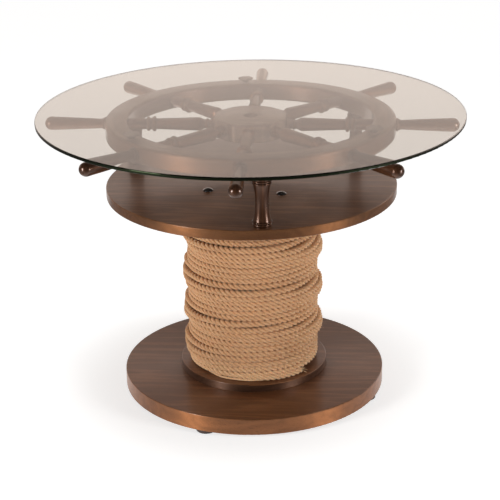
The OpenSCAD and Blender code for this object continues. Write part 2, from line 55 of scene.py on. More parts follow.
class Shader:
    """Adds nodes to a new material, or to a new world, and links them."""

    def __init__(self, name, world=False):
        self.owner = (bpy.data.worlds if world else bpy.data.materials).new(name)
        self.owner.use_nodes = True
        self.tree = self.owner.node_tree
        self.tree.nodes.clear()
        self.out = self.add("OutputWorld" if world else "OutputMaterial")

    def put(self, socket, value):
        """Links a socket to another one or sets its value."""
        if isinstance(value, bpy.types.NodeSocket):
            self.tree.links.new(value, socket)
        elif value is not None:
            socket.default_value = value

    def add(self, kind, inputs=(), **settings):
        """A new node of that kind; inputs has a value or a socket for each input's name or number."""
        node = self.tree.nodes.new("ShaderNode" + kind)
        for key, value in settings.items():
            setattr(node, key, value)
        for key, value in dict(inputs).items():
            self.put(node.inputs[key], value)
        return node

    def math(self, what, a, b=None, c=None):
        """The result of one Math node."""
        return self.add("Math", {0: a, 1: b, 2: c}, operation=what).outputs[0]

    def plus(self, a, b):
        return self.math("ADD", a, b)

    def minus(self, a, b):
        return self.math("SUBTRACT", a, b)

    def times(self, a, b, plus=None):
        """a * b, or a * b + plus."""
        if plus is None:
            return self.math("MULTIPLY", a, b)
        return self.math("MULTIPLY_ADD", a, b, plus)

    def step(self, value, start, end, before=0.0, after=1.0):
        """Smooth ramp from before, at start, to after, at end; start may be the larger one."""
        inputs = {"Value": value, "From Min": start, "From Max": end, "To Min": before, "To Max": after}
        return self.add("MapRange", inputs, interpolation_type="SMOOTHSTEP").outputs["Result"]

    def span(self, share, low, high):
        """A share from 0 to 1 spread to low..high."""
        return self.add("MapRange", {"Value": share, "To Min": low, "To Max": high}).outputs["Result"]

    def place(self):
        """The point in the frame."""
        return self.add("TexCoord").outputs["Object"]

    def facing_up(self):
        """1 where the surface faces up, 0 where it is upright, -1 where it faces down."""
        return self.split(self.add("NewGeometry").outputs["Normal"])[2]

    def split(self, vector):
        """The three numbers of a vector."""
        return self.add("SeparateXYZ", {0: vector}).outputs

    def join(self, x, y, z):
        """A vector from three numbers."""
        return self.add("CombineXYZ", {0: x, 1: y, 2: z}).outputs[0]

    def reach(self, x, y):
        """Distance from the Z axis."""
        return self.math("SQRT", self.plus(self.times(x, x), self.times(y, y)))

    def stretch(self, vector, scales):
        return self.add("VectorMath", {0: vector, 1: scales}, operation="MULTIPLY").outputs[0]

    def noise(self, vector, detail, rough, scale=1.0, bend=0.0):
        inputs = {"Vector": vector, "Scale": scale, "Detail": detail, "Roughness": rough, "Distortion": bend}
        return self.add("TexNoise", inputs).outputs["Fac"]

    def mix(self, share, a, b):
        """Mixes two colours; 0, 6 and 7 are the numbers of the node's factor and colour inputs."""
        return self.add("Mix", {0: share, 6: rgba(a), 7: rgba(b)}, data_type="RGBA").outputs[2]

    def bump(self, height, strength, depth):
        return self.add("Bump", {"Height": height, "Strength": strength, "Distance": depth}).outputs[0]

    def principled(self, color, rough, normal=None, **others):
        """A Principled surface; the names of its other inputs have underscores for blanks."""
        inputs = {"Base Color": rgba(color), "Roughness": rough, "Normal": normal}
        inputs.update({key.replace("_", " "): value for key, value in others.items()})
        return self.add("BsdfPrincipled", inputs)

    def finish(self, shader):
        """Links the last node to the output; gives the material or the world."""
        self.put(self.out.inputs[0], shader.outputs[0])
        return self.owner


# Wood

# Tones of the stain: dark, middle and light, or dark and middle for an edge. Several are lighter or darker
# copies of one wood, as painted light and painted shade.
# Painted light: the wheel's wood, with its wear tone, made lighter for the spokes, the back handles and the
# rim's edge under the glass
WHEEL_LIT = ((0.170, 0.074, 0.033), (0.255, 0.114, 0.052), (0.345, 0.157, 0.075))
WHEEL_EDGE_LIT = ((0.220, 0.098, 0.043), (0.306, 0.138, 0.063))
WHEEL_LIT_WORN = (0.24, 0.11, 0.048)
# Painted shade: the same wood, with its wear tone, made darker for the posts and the front handles
WHEEL_SHADED = ((0.055, 0.0205, 0.0082), (0.086, 0.0325, 0.0135), (0.125, 0.0500, 0.0215))
WHEEL_SHADED_WORN = (0.13, 0.058, 0.026)
# Painted light: the same wood made lighter and paler still for the rim's level faces and the hub under the
# glass
WHEEL_TOP_LIT = ((0.225, 0.131, 0.084), (0.314, 0.186, 0.120), (0.398, 0.241, 0.159))
BOARD = ((0.133, 0.051, 0.0190), (0.169, 0.066, 0.0245), (0.205, 0.083, 0.0315))
# Lighter tone along the boards' rounded corners: partly wear, partly a painted highlight
BOARD_WEAR_AND_HIGHLIGHT = (0.30, 0.13, 0.050)
# Painted light: the boards' wood made lighter for the shelf, which lies in the shade of the wheel above it
SHELF_LIT = ((0.150, 0.062, 0.024), (0.191, 0.080, 0.0305), (0.232, 0.100, 0.0395))
SHELF_EDGE = ((0.170, 0.066, 0.021), (0.240, 0.095, 0.031))
# Painted shade: the flange's edge, darker than the boards' wood
FLANGE_EDGE_SHADED = ((0.094, 0.045, 0.026), (0.136, 0.065, 0.038))
# Painted light: the base's edge, lighter than the boards' wood
BASE_EDGE_LIT = ((0.248, 0.093, 0.030), (0.348, 0.133, 0.044))
CORE = ((0.40, 0.27, 0.15), (0.55, 0.39, 0.23), (0.66, 0.50, 0.31))
CORE_WORN = (0.72, 0.58, 0.40)

# Weight and roughness of the clear coat, how much the wood under it mirrors, and the coat's IOR
Lacquer = namedtuple("Lacquer", "weight rough specular ior")
GLOSS = Lacquer(weight=1.0, rough=0.035, specular=0.3, ior=1.70)
POLISHED = Lacquer(weight=0.65, rough=0.10, specular=0.3, ior=1.50)
RUBBED = Lacquer(weight=1.0, rough=0.15, specular=0.4, ior=1.55)
SATIN = Lacquer(weight=0.60, rough=0.24, specular=0.3, ior=1.45)
WAXED = Lacquer(weight=0.50, rough=0.17, specular=0.3, ior=1.50)
BARE = Lacquer(weight=0.0, rough=0.3, specular=0.3, ior=1.45)

# Scales of the figure: along the grain and in the two directions across it
STREAKS = (5.0, 95.0, 95.0)
BANDS = (1.6, 16.0, 16.0)
PORES = (70.0, 1500.0, 1500.0)
# Radians of growth rings over the whole range of the bands
RING_RADIANS = 62.0
# Shares of the rings, the clouds, the pores and the places of wear, with their painted highlight on the
# boards, in the colour
RING_SHARE = 0.225
CLOUD_SHARE = 0.35
PORE_SHARE = 0.55
WEAR_AND_HIGHLIGHT_SHARE = 0.55
# A pore's tone, as a share of the dark one
PORE_TONE = 0.45
# How metallic the grain of an upright edge shines
EDGE_FIBRE = 0.8
# How drawn out the highlights of a board with such edges are
BOARD_DRAWN = 0.85
# The rim is glued up from segments: how far the figure shifts along and across from one to the
# next, and how much of it a radian of the rim shows
RIM_SEGMENTS = 8
SEGMENT_SHIFT = (0.83, 0.31)
RIM_STRETCH = 0.25


def turned_grain(angle):
    """Grain along a horizontal axis at that angle."""

    def grain(s, place):
        back = (0.0, 0.0, -math.radians(angle))
        return s.add("Mapping", {"Vector": place, "Rotation": back}, vector_type="POINT").outputs[0]

    return grain


def upright_grain(s, place):
    """Grain along Z."""
    x, y, z = s.split(place)
    return s.join(z, x, y)


def ring_grain(s, place):
    """Grain along the arc of the rim, a little different in each of its segments."""
    x, y, z = s.split(place)
    angle = s.math("ARCTAN2", y, x)
    turn = s.math("DIVIDE", angle, 2.0 * math.pi / RIM_SEGMENTS)
    segment = s.math("FLOOR", s.plus(turn, 0.5))
    along = s.times(segment, SEGMENT_SHIFT[0], plus=s.times(angle, RIM_STRETCH))
    across = s.times(segment, SEGMENT_SHIFT[1], plus=s.reach(x, y))
    return s.join(along, across, z)


def straight_grain(s, place):
    """Grain along X."""
    return place


def corner_wear(s, place, up):
    """Worn in patches along the rounded corners; on the boards, whose tone there is lighter, it is also a
    painted highlight. up is 1 on level faces and 0 on upright ones.
    """
    corner = s.times(s.step(up, 0.30, 0.62), s.step(up, 0.97, 0.80))
    patches = s.step(s.noise(place, scale=38.0, detail=4.0, rough=0.65), 0.36, 0.66)
    return s.times(corner, patches)


def patch_wear(s, place, up):
    """Worn in patches all over."""
    return s.step(s.noise(place, scale=46.0, detail=4.0, rough=0.7), 0.60, 0.80)


def wood(
    name, grain, tones, wear_and_highlight_tone, lacquer, rough, wear=corner_wear, edge_tones=None, fibre=0.35, seed=0.0
):
    """Stained wood under lacquer.

    grain turns the object's place into (along, across, across), rough is how matt the wood is and
    fibre how metallic its grain shines, wear says where the stain shows wear, on the boards' corners
    also a painted highlight, and seed picks a stretch of the figure. edge_tones, if given, are for the
    upright edges; set per piece, some are lighter or darker as painted light and painted shade.
    """
    s = Shader(name)
    dark, middle, light = tones
    place = s.place()
    shift = (seed, 1.7 * seed, 0.6 * seed)
    along = s.add("VectorMath", {0: grain(s, place), 1: shift}, operation="ADD").outputs[0]
    streaks = s.noise(s.stretch(along, STREAKS), detail=5.0, rough=0.62)
    bands = s.noise(s.stretch(along, BANDS), detail=2.0, rough=0.5, bend=0.4)
    rings = s.times(s.math("SINE", s.times(bands, RING_RADIANS)), 0.5, plus=0.5)
    pores = s.step(s.noise(s.stretch(along, PORES), detail=2.0, rough=0.5), 0.56, 0.70)
    clouds = s.noise(place, scale=9.0, detail=2.0, rough=0.5)
    tone = s.plus(s.times(streaks, 1.0 - RING_SHARE), s.times(rings, RING_SHARE))
    tone = s.step(s.times(clouds, CLOUD_SHARE, plus=s.minus(tone, 0.17)), 0.22, 0.78)
    color = s.mix(s.step(tone, 0.55, 1.0), s.mix(tone, dark, middle), light)
    up = s.math("ABSOLUTE", s.facing_up())
    metal = fibre
    if edge_tones:
        side = s.step(up, 0.62, 0.42)
        color = s.mix(side, color, s.mix(tone, *edge_tones))
        metal = s.span(side, fibre, EDGE_FIBRE)
    color = s.mix(s.times(pores, PORE_SHARE), color, tuple(PORE_TONE * c for c in dark))
    # Places of wear; along the boards' corners, whose tone is lighter, also a painted highlight
    wear_and_highlight = wear(s, place, up)
    color = s.mix(s.times(wear_and_highlight, WEAR_AND_HIGHLIGHT_SHARE), color, wear_and_highlight_tone)
    patches = s.noise(place, scale=26.0, detail=4.0, rough=0.6)
    dull = s.plus(s.span(patches, rough - 0.07, rough + 0.09), s.times(wear_and_highlight, 0.08))
    face = s.bump(s.minus(s.times(streaks, 0.35), pores), strength=0.35, depth=0.00006)
    body = s.principled(
        color,
        dull,
        face,
        Metallic=metal,
        Coat_Weight=lacquer.weight,
        Coat_Roughness=lacquer.rough,
        Coat_IOR=lacquer.ior,
        Specular_IOR_Level=lacquer.specular,
        Anisotropic=BOARD_DRAWN if edge_tones else 0.0,
        Anisotropic_Rotation=0.25,
    )
    return s.finish(body)


# Painted light: the lighter copy of the wheel's wood for the spokes and the back handles
turned = {
    angle: wood(
        f"wheel_wood_{angle}", turned_grain(angle), WHEEL_LIT, WHEEL_LIT_WORN, GLOSS,
        rough=0.36, wear=patch_wear, fibre=0.5, seed=0.3 * k,
    )
    for k, angle in enumerate((0, 45, 90, 135))
}
# Painted shade: the darker copy of the wheel's wood for the front handles
shaded_turned = {
    angle: wood(
        f"wheel_wood_shaded_{angle}", turned_grain(angle), WHEEL_SHADED, WHEEL_SHADED_WORN, POLISHED,
        rough=0.30, wear=patch_wear, fibre=0.6, seed=1.1 + k,
    )
    for k, angle in enumerate((45, 90, 135))
}
# Painted shade: the darker copy of the wheel's wood for the posts
upright = wood(
    "wheel_wood_upright", upright_grain, WHEEL_SHADED, WHEEL_SHADED_WORN, WAXED,
    rough=0.28, wear=patch_wear, fibre=0.7, seed=2.1,
)
# Painted light: the lighter copies of the wheel's wood for the rim and the hub
rim_wood = wood(
    "wheel_wood_rim", ring_grain, WHEEL_TOP_LIT, WHEEL_LIT_WORN, RUBBED,
    rough=0.50, edge_tones=WHEEL_EDGE_LIT, fibre=0.6, seed=3.3,
)
hub_wood = wood("wheel_wood_hub", straight_grain, WHEEL_TOP_LIT, WHEEL_LIT_WORN, GLOSS, rough=0.38, fibre=0.5, seed=4.2)
# The shelf's top tones are a painted light, the flange's edge tones a painted shade and the base's edge
# tones a painted light
BOARD_TONES = {
    "shelf": (SHELF_LIT, SHELF_EDGE),
    "spool_flange": (BOARD, FLANGE_EDGE_SHADED),
    "base": (BOARD, BASE_EDGE_LIT),
}
boards = {
    name: wood(
        f"board_wood_{name}", straight_grain, top, BOARD_WEAR_AND_HIGHLIGHT, SATIN,
        rough=0.54, edge_tones=edge, seed=5.0 + k,
    )
    for k, (name, (top, edge)) in enumerate(BOARD_TONES.items())
}
core_wood = wood(
    "core_wood_bare", upright_grain, CORE, CORE_WORN, BARE,
    rough=0.62, wear=patch_wear, fibre=0.0, seed=7.7,
)


# Glass, steel, vinyl and rubber

GLASS_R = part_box("glass_top")[1].x
# How wide the ground edge is, and its soft border
GROUND = 0.0019
EDGE_BLEND = 0.0004
GLASS_CLEAR = (0.615, 0.580, 0.535)
GLASS_EDGE = ((0.011, 0.015, 0.008), (0.021, 0.027, 0.015))
# What tints the light that falls through the glass and through its edge
GLASS_SHADOW = (0.84, 0.81, 0.78)
EDGE_SHADOW = (0.10, 0.16, 0.13)


def glass(name, edge_from):
    """Tinted float glass; the ground edge, outside the radius edge_from, is dark green."""
    s = Shader(name)
    place = s.place()
    x, y, _ = s.split(place)
    outside = s.step(s.reach(x, y), edge_from, edge_from + EDGE_BLEND)
    edge = s.times(outside, s.step(s.facing_up(), 0.85, 0.60))
    streak = s.noise(s.stretch(place, (3.0, 3.0, 60.0)), scale=6.0, detail=3.0, rough=0.5)
    color = s.mix(edge, GLASS_CLEAR, s.mix(streak, *GLASS_EDGE))
    smear = s.step(s.noise(place, scale=5.0, detail=6.0, rough=0.7, bend=0.8), 0.52, 0.78)
    rough = s.times(edge, 0.10, plus=s.times(smear, 0.004))
    wave = s.bump(s.noise(place, scale=2.5, detail=1.0, rough=0.4), strength=0.02, depth=0.0004)
    body = s.principled(color, rough, wave, Metallic=edge, Transmission_Weight=1.0, IOR=1.5)
    light = s.add("BsdfTransparent", {"Color": s.mix(edge, GLASS_SHADOW, EDGE_SHADOW)})
    shadow = s.add("LightPath").outputs["Is Shadow Ray"]
    return s.finish(s.add("MixShader", {0: shadow, 1: body.outputs[0], 2: light.outputs[0]}))


def black_steel(name):
    """Black oxide, scuffed in fine specks."""
    s = Shader(name)
    place = s.place()
    patch = s.noise(place, scale=60.0, detail=4.0, rough=0.6)
    color = s.mix(patch, (0.010, 0.009, 0.009), (0.030, 0.027, 0.026))
    scuff = s.step(s.noise(place, scale=320.0, detail=4.0, rough=0.7), 0.60, 0.74)
    color = s.mix(s.times(scuff, 0.5), color, (0.10, 0.095, 0.09))
    rough = s.times(scuff, 0.15, plus=s.span(patch, 0.16, 0.30))
    face = s.bump(s.noise(place, scale=420.0, detail=3.0, rough=0.6), strength=0.12, depth=0.00008)
    return s.finish(s.principled(color, rough, face, Metallic=0.35, Coat_Weight=0.9, Coat_Roughness=0.04))


def zinc_steel(name):
    """Bright zinc with a fine spangle and dull stains."""
    s = Shader(name)
    place = s.place()
    spangle = s.noise(place, scale=240.0, detail=3.0, rough=0.6)
    color = s.mix(spangle, (0.42, 0.42, 0.43), (0.66, 0.66, 0.68))
    stain = s.step(s.noise(place, scale=70.0, detail=4.0, rough=0.7), 0.56, 0.76)
    color = s.mix(s.times(stain, 0.4), color, (0.36, 0.34, 0.30))
    rough = s.times(stain, 0.2, plus=s.span(spangle, 0.22, 0.38))
    face = s.bump(spangle, strength=0.15, depth=0.00006)
    return s.finish(s.principled(color, rough, face, Metallic=1.0))


def vinyl(name):
    """Smooth dark vinyl with specks of dust."""
    s = Shader(name)
    place = s.place()
    patch = s.noise(place, scale=55.0, detail=3.0, rough=0.5)
    color = s.mix(patch, (0.010, 0.009, 0.008), (0.024, 0.020, 0.018))
    dust = s.step(s.noise(place, scale=900.0, detail=2.0, rough=0.6), 0.62, 0.72)
    color = s.mix(s.times(dust, 0.25), color, (0.12, 0.11, 0.10))
    rough = s.times(dust, 0.1, plus=s.span(patch, 0.02, 0.06))
    face = s.bump(s.noise(place, scale=300.0, detail=2.0, rough=0.5), strength=0.1, depth=0.00006)
    shine = {"Coat_Weight": 0.8, "Coat_Roughness": 0.03, "Specular_IOR_Level": 0.3}
    return s.finish(s.principled(color, rough, face, **shine))


def rubber(name):
    """Matt dark brown rubber with dust in its grain."""
    s = Shader(name)
    place = s.place()
    patch = s.noise(place, scale=90.0, detail=4.0, rough=0.6)
    color = s.mix(patch, (0.038, 0.024, 0.019), (0.072, 0.045, 0.037))
    dust = s.step(s.noise(place, scale=420.0, detail=3.0, rough=0.7), 0.56, 0.74)
    color = s.mix(s.times(dust, 0.45), color, (0.13, 0.095, 0.082))
    face = s.bump(s.noise(place, scale=700.0, detail=3.0, rough=0.6), strength=0.35, depth=0.00015)
    return s.finish(s.principled(color, s.span(patch, 0.62, 0.82), face))


table_glass = glass("tinted_glass_pane", GLASS_R - GROUND)
bolt_black = black_steel("black_steel_dome")
bright_zinc = zinc_steel("zinc_steel_screw")
rest_vinyl = vinyl("rest_vinyl_dark")
foot_rubber = rubber("foot_rubber_brown")

# The handles at the front get the darker copy of the wheel's wood, a painted shade, and the other ones the
# lighter copy, a painted light
FRONT_HANDLES = (6, 7, 8)
# Which material each node's slots get
dress = {"glass_top": table_glass, "wheel_rim": rim_wood, "wheel_hub": hub_wood, **boards}
for k in range(1, 9):
    axis = 45 * (k - 1) % 180
    dress[f"spoke_{k}"] = turned[axis]
    dress[f"handle_{k}"] = shaded_turned[axis] if k in FRONT_HANDLES else turned[axis]
for k in range(1, 4):
    dress[f"post_{k}"] = upright
    dress[f"glass_rest_{k}"] = rest_vinyl
for k in range(1, 5):
    dress[f"foot_{k}"] = foot_rubber
for name in ("drum_tube", "drum_top_end", "drum_bottom_end", "post_dowels"):
    dress[name] = core_wood
for name in ("shelf_bolts", "base_bolts"):
    dress[name] = bolt_black
for name in ("post_screws", "shelf_nuts", "base_nuts", "foot_screws"):
    dress[name] = bright_zinc
for name, material in dress.items():
    for slot in nodes[name].material_slots:
        slot.material = material


# Jute

JUTE_TONES = ((0.665, 0.366, 0.186), (0.765, 0.450, 0.240))
# The rope is painted paler at both ends of the drum, a painted light against the shade under the shelf and
# near the foot: its tone, and heights where it starts and is full
JUTE_LIT_ENDS = (0.93, 0.585, 0.325)
LIT_ABOVE = (0.33, 0.39)
LIT_BELOW = (0.10, 0.06)
# Tone of its pale threads, and the painted shade between its yarns and in the grooves between its strands
THREAD_PALE = (0.88, 0.62, 0.37)
YARN_GAP_SHADE = (0.42, 0.22, 0.10)
STRAND_GROOVE_SHADE = (0.36, 0.170, 0.065)
# How many yarns lie side by side round the rope
YARNS_ROUND = 21.0


def laid_yarns(s, color):
    """Colour and height of a laid rope: yarns, pale threads, and painted shade between the yarns and in the
    grooves between its strands.

    They follow the two maps that laid_rope makes.
    """
    fibre = s.add("UVMap", uv_map="fibre").outputs[0]
    strand = s.add("UVMap", uv_map="strand").outputs[0]
    around = s.times(s.split(fibre)[1], 2.0 * math.pi * YARNS_ROUND)
    waver = s.noise(s.stretch(fibre, (90.0, 9.0, 1.0)), detail=2.0, rough=0.5)
    yarns = s.times(s.math("SINE", s.times(waver, 3.0, plus=around)), 0.5, plus=0.5)
    threads = s.noise(s.stretch(fibre, (130.0, 150.0, 1.0)), detail=3.0, rough=0.65)
    color = s.mix(s.times(s.step(threads, 0.55, 0.78), 0.35), color, THREAD_PALE)
    # Painted shade between the yarns
    color = s.mix(s.times(s.step(yarns, 0.45, 0.0), 0.30), color, YARN_GAP_SHADE)
    # Painted shade in the grooves between the strands
    off_middle = s.math("ABSOLUTE", s.minus(s.split(strand)[1], 0.5))
    color = s.mix(s.times(s.step(off_middle, 0.36, 0.50), 0.50), color, STRAND_GROOVE_SHADE)
    return color, s.plus(s.times(yarns, 0.8), s.times(threads, 0.7))


def jute(name, twisted):
    """Jute fibre; with twisted it also shows the yarns and grooves of a laid rope."""
    s = Shader(name)
    place = s.place()
    clouds = s.noise(place, scale=14.0, detail=3.0, rough=0.6)
    fine = s.noise(place, scale=520.0, detail=3.0, rough=0.6)
    z = s.split(place)[2]
    # Painted light: paler towards the top and the foot of the drum
    lit_ends = s.plus(s.step(z, *LIT_ABOVE), s.step(z, *LIT_BELOW))
    color = s.mix(s.times(lit_ends, 0.9), s.mix(clouds, *JUTE_TONES), JUTE_LIT_ENDS)
    shaded = s.mix(0.72, (0.0, 0.0, 0.0), color)
    color = s.mix(s.step(fine, 0.35, 0.70), shaded, color)
    height = fine
    if twisted:
        color, height = laid_yarns(s, color)
    body = s.principled(
        color,
        s.span(fine, 0.80, 0.95),
        s.bump(height, strength=0.55, depth=0.0005),
        Sheen_Weight=0.15,
        Sheen_Roughness=0.5,
        Specular_IOR_Level=0.25,
        Subsurface_Weight=0.45,
        Subsurface_Scale=0.003,
        Subsurface_Radius=(1.0, 0.72, 0.50),
    )
    return s.finish(body)


jute_wound = jute("jute_rope_wound", True)
jute_loose = jute("jute_rope_loose", False)


# Sizes of the rope: metres and degrees

DRUM_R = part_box("drum_tube")[1].x
DRUM_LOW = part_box("spool_flange")[1].z
DRUM_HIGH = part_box("shelf")[0].z
# Rise of one turn
PITCH = 0.01069
ROPE_R = 0.0061
# How far the turns stand out from the drum
ROPE_OUT = 0.0147
# Direction in which the winding starts
ROPE_START = -186.0
# Length of one twist of the strands, and of one step of the mesh
LAY = 0.032
RING_STEP = LAY / 12.0
# Space under the first turn and over the last one
FOOT_GAP = 0.0022
TOP_GAP = 0.0004
# Clearance between the turns and the drum, and least clearance between them and the boards
ROPE_FIT = 0.0003
END_FIT = 0.0002
# How uneven the turns are: rings from one random value to the next, and its amount
REACH_WOBBLE = (22, 0.00035)
HEIGHT_WOBBLE = (30, 0.00028)
SIZE_WOBBLE = (9, 0.018)
TWIST_WOBBLE = (40, 0.35)
# The first and last rings of the winding are thinner
END_RINGS = 5
END_TAPER = 0.82
# How far the middle of a cut end stands proud
CROWN = 0.0012
# The strands make the rope's outline: distance of their middles and their radius, where the
# rope's radius is 1
STRAND_OFF = 0.46
STRAND_R = 0.54
STRAND_ARC = math.radians(120.0)
# How much the turns press the rope's round outline towards a square one
PRESSED = 0.4
# Each triangle of a cut end shows a piece of the map fibre: from one to the next, its length and
# its width
CAP_STEP = 0.02
CAP_LONG = 0.002
CAP_WIDE = 0.01
# A thin tube shows this share of what goes round a rope in that map, and its end steps this far
TUBE_ROUND = 0.3
TUBE_CAP_STEP = 0.03

# The cord under the turns
CORD_R = 0.0044
CORD_LAY = 0.027
# Its clearance from the drum, and how far it lies under the groove of the bulge
CORD_FIT = 0.0002
CORD_BELOW = 0.010
# How far inside the two ends of ROUTE it ends, and the step of its rings
CORD_INSIDE = 70.0
CORD_STEP = 1.2

# Where the groove on the slanting bulge is: direction, and height as a share of the drum's
ROUTE = np.array([
    (-350, 0.940), (-185, 0.850), (-141, 0.787), (-66, 0.775),
    (-26, 0.728), (-11, 0.716), (170, 0.585), (204, 0.545),
    (304, 0.526), (349, 0.480), (564, 0.344), (619, 0.333),
    (674, 0.289), (714, 0.249), (924, 0.136), (980, 0.129),
])
# Height of the bulge, and between which heights from the groove's line it rises and falls
BULGE = 0.0095
BULGE_RISE = (-0.034, -0.014)
BULGE_FALL = (-0.002, 0.017)
# How far round the drum the bulge takes to rise and fall at the two ends of ROUTE
BULGE_RAMP = 40.0
# How many rings on either side the bulge is smoothed over, and the width of the bell curve
SOFT_REACH = 12
SOFT_WIDTH = 3.4
# The turns part at the groove: how far those below it move down and those above it up, and how
# far from the groove that ends
PART_DOWN = 0.0016
PART_DOWN_REACH = 0.026
PART_UP = 0.0013
PART_UP_REACH = 0.022
# Direction of the front, and the share of that by which the turns part there
FRONT = -86.0
FRONT_PART = 0.25
# How far from the front the share begins to rise, and where it is full
FRONT_REACH = (25.0, 55.0)

# A rope's rings: direction in degrees, distance from the axis, height, place along it, radius
Rings = namedtuple("Rings", "azimuth reach height length size")


def smooth(value, low, high):
    """0 up to low, 1 from high on, smooth between."""
    t = np.clip((value - low) / (high - low), 0.0, 1.0)
    return t * t * (3.0 - 2.0 * t)


def column(values):
    """An array of numbers as a column, to go with an array of points."""
    return values[:, None]


def polar(azimuth, reach, height):
    """Points from directions in degrees, distances from the axis and heights."""
    a = np.radians(azimuth)
    return np.stack([reach * np.cos(a), reach * np.sin(a), height], axis=-1)


def arc_length(azimuth, reach, drift):
    """Place along a path round the axis; drift is its radius or its height, the other is left out."""
    steps = np.hypot(np.diff(np.radians(azimuth)) * reach[:-1], np.diff(drift))
    return np.concatenate([[0.0], np.cumsum(steps)])


def wobble(rng, count, wave, amount):
    """Smooth noise of about that amount for count rings; a new random value comes every wave or so."""
    knots = int(count / wave) + 4
    values = rng.normal(0.0, amount, knots)
    at = np.linspace(0.0, knots - 1.001, count)
    k = at.astype(int)
    t = smooth(at - k, 0.0, 1.0)
    return values[k] * (1.0 - t) + values[k + 1] * t


def softened(values):
    """The values smoothed by a bell curve."""
    bell = np.exp(-0.5 * (np.arange(-SOFT_REACH, SOFT_REACH + 1) / SOFT_WIDTH) ** 2)
    return np.convolve(np.pad(values, SOFT_REACH, mode="edge"), bell / bell.sum(), mode="valid")


def route_height(azimuth):
    """Height of the groove's line over the floor."""
    return DRUM_LOW + (DRUM_HIGH - DRUM_LOW) * np.interp(azimuth, ROUTE[:, 0], ROUTE[:, 1])


def bulge_at(azimuth, height):
    """What share of the bulge's height each ring has, and how high it lies over the groove."""
    first, last = ROUTE[0, 0], ROUTE[-1, 0]
    raised = np.zeros_like(azimuth)
    over = np.full_like(azimuth, 1.0)
    for k in range(-1, 3):
        a = np.mod(azimuth, 360.0) + 360.0 * k
        on = (a >= first) & (a <= last)
        t = height - route_height(a)
        ramp = smooth(a, first, first + BULGE_RAMP) * (1.0 - smooth(a, last - BULGE_RAMP, last))
        part = smooth(t, *BULGE_RISE) * (1.0 - smooth(t, *BULGE_FALL)) * ramp
        raised = np.where(on & (part > raised), part, raised)
        over = np.where(on & (np.abs(t) < np.abs(over)), t, over)
    return raised, over


# Meshes of ropes and yarns


def quads_of(rings, sides):
    """Ring and side of each face of a tube, and the faces."""
    i, j = np.meshgrid(np.arange(rings - 1), np.arange(sides), indexing="ij")
    after = (j + 1) % sides
    corners = [i * sides + j, (i + 1) * sides + j, (i + 1) * sides + after, i * sides + after]
    return i, j, np.stack(corners, axis=-1).reshape(-1, 4).tolist()


def fan(first, sides, middle, at_end):
    """Triangles that close a tube, from the ring that starts at vertex first to the vertex middle."""
    pairs = [[first + k, first + (k + 1) % sides] for k in range(sides)]
    return [[middle] + (pair if at_end else pair[::-1]) for pair in pairs]


def corner_map(u, v):
    """Map of faces with four corners each, from the lists of the corners' two coordinates."""
    return np.stack([np.stack(u, axis=-1), np.stack(v, axis=-1)], axis=-1).reshape(-1, 2)


def lobes(psi):
    """Outline of the strands in a rope of radius 1; psi is the angle from the middle of a strand."""
    return STRAND_OFF * np.cos(psi) + np.sqrt(STRAND_R * STRAND_R - (STRAND_OFF * np.sin(psi)) ** 2)


def laid_rope(rope, inner, phase, per_strand=8):
    """Mesh and maps of a three-strand rope round the axis. Its inner side reaches in to inner.

    phase is how far the strands are turned in each ring. The map fibre goes along and round the
    rope, the map strand along the rope and across each strand.
    """
    count = len(rope.azimuth)
    sides = 3 * per_strand
    turn = 2.0 * math.pi / sides
    psi = np.tile(np.arange(per_strand) / per_strand * STRAND_ARC - STRAND_ARC / 2.0, 3)
    spin = np.arange(sides) * 2.0 * math.pi / sides - STRAND_ARC / 2.0
    outline = lobes(psi)[None, :] * column(rope.size)
    theta = column(phase) + spin[None, :]
    out_part = outline * np.cos(theta) * (1.0 + PRESSED * np.sin(theta) ** 2)
    deep = (rope.reach - inner) / rope.size
    out_part = np.where(out_part < 0.0, out_part * column(deep), out_part)
    reach = column(rope.reach) + out_part
    height = column(rope.height) + outline * np.sin(theta)
    verts = polar(column(rope.azimuth), reach, height).reshape(-1, 3)
    i, j, faces = quads_of(count, sides)
    start, end = rope.length[i], rope.length[i + 1]
    now, then = phase[i] + spin[j], phase[i + 1] + spin[j]
    low = (j % per_strand) / per_strand
    high = low + 1.0 / per_strand
    along = [start, end, end, start]
    fibre = corner_map(along, [v / (2.0 * math.pi) for v in (now, then, then + turn, now + turn)])
    strand = corner_map(along, [low, low, high, high])
    ahead = polar(rope.azimuth + 90.0, 1.0, np.zeros(count))
    cap_fibre = []
    for ring, sign in ((0, -1.0), (count - 1, 1.0)):
        first = ring * sides
        middle = verts[first:first + sides].mean(axis=0) + sign * ahead[ring] * CROWN
        verts = np.vstack([verts, middle])
        faces += fan(first, sides, len(verts) - 1, sign > 0.0)
        u = rope.length[ring]
        for k in range(sides):
            v = CAP_STEP * k
            cap_fibre += [[u, v], [u + CAP_LONG, v], [u + CAP_LONG, v + CAP_WIDE]]
    cap_strand = [[0.0, 0.5]] * len(cap_fibre)
    return verts, faces, {"fibre": np.vstack([fibre, cap_fibre]), "strand": np.vstack([strand, cap_strand])}


